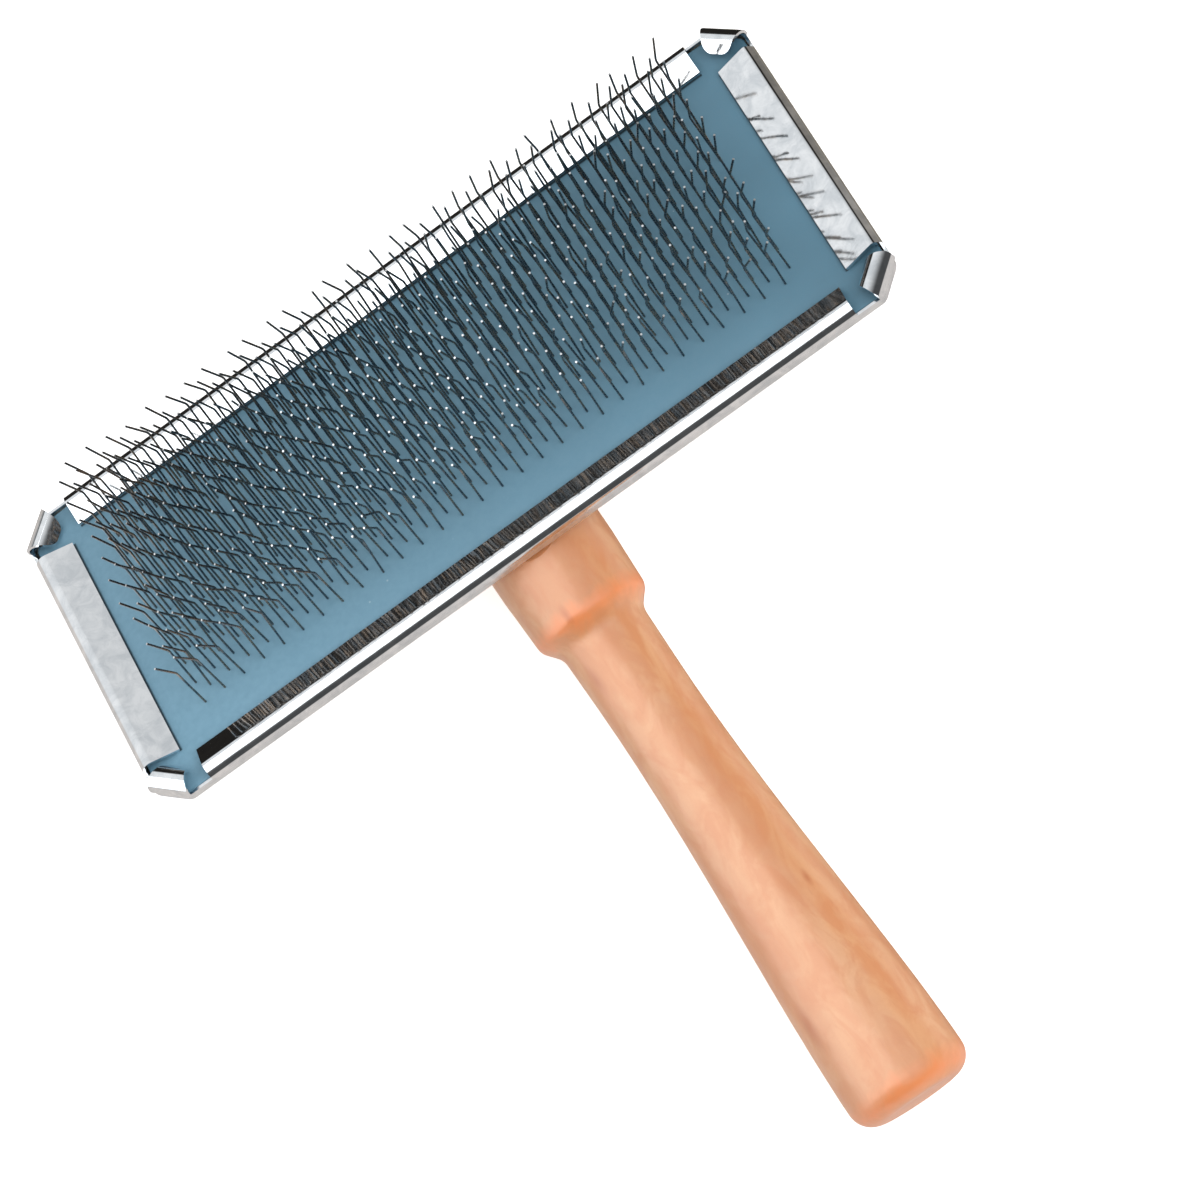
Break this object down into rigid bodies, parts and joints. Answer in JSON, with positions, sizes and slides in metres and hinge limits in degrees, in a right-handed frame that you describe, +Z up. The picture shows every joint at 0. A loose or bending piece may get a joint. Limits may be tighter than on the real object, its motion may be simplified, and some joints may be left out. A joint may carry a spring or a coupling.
{
  "type": "slicker brush",
  "caption": "Slicker brush with bent wire pins in a cushioned pad, held in a folded steel tray on a turned wooden handle.",
  "frame": {"origin": "on the table, under the middle of the brush's bounding box as it lies on its back, resting on the far back edge of the head and on the handle's butt", "axes": "+X along the head's long side, +Y from the handle's butt towards the head, +Z up from the table; the pins point up and lean towards +Y because the lying head slopes down away from the handle"},
  "size_m": [0.1482, 0.167, 0.0374],
  "materials": {
    "bright_steel": "bright polished sheet with fine scratches",
    "lacquered_wood": "glossy clear lacquer over pale beech",
    "screw_steel": "zinc plated",
    "hardboard": "plain pressed board",
    "foam": "open-cell foam",
    "canvas": "plain woven cotton",
    "blue_rubber": "matte grey-blue rubber",
    "pin_wire": "drawn steel wire with bright cut ends"
  },
  "bodies": {
    "root": {"head_shell": "bright_steel", "handle": "lacquered_wood", "handle_screws": "screw_steel", "stiffener_board": "hardboard", "foam_cushion": "foam", "canvas_ply": "canvas", "rubber_facing": "blue_rubber", "staple_row_01": "pin_wire", "staple_row_02": "pin_wire", "staple_row_03": "pin_wire", "staple_row_04": "pin_wire", "staple_row_05": "pin_wire", "staple_row_06": "pin_wire", "staple_row_07": "pin_wire", "staple_row_08": "pin_wire", "staple_row_09": "pin_wire", "staple_row_10": "pin_wire", "staple_row_11": "pin_wire", "staple_row_12": "pin_wire", "staple_row_13": "pin_wire", "staple_row_14": "pin_wire", "staple_row_15": "pin_wire", "staple_row_16": "pin_wire", "staple_row_17": "pin_wire", "staple_row_18": "pin_wire", "staple_row_19": "pin_wire", "staple_row_20": "pin_wire"}
  },
  "joints": []
}
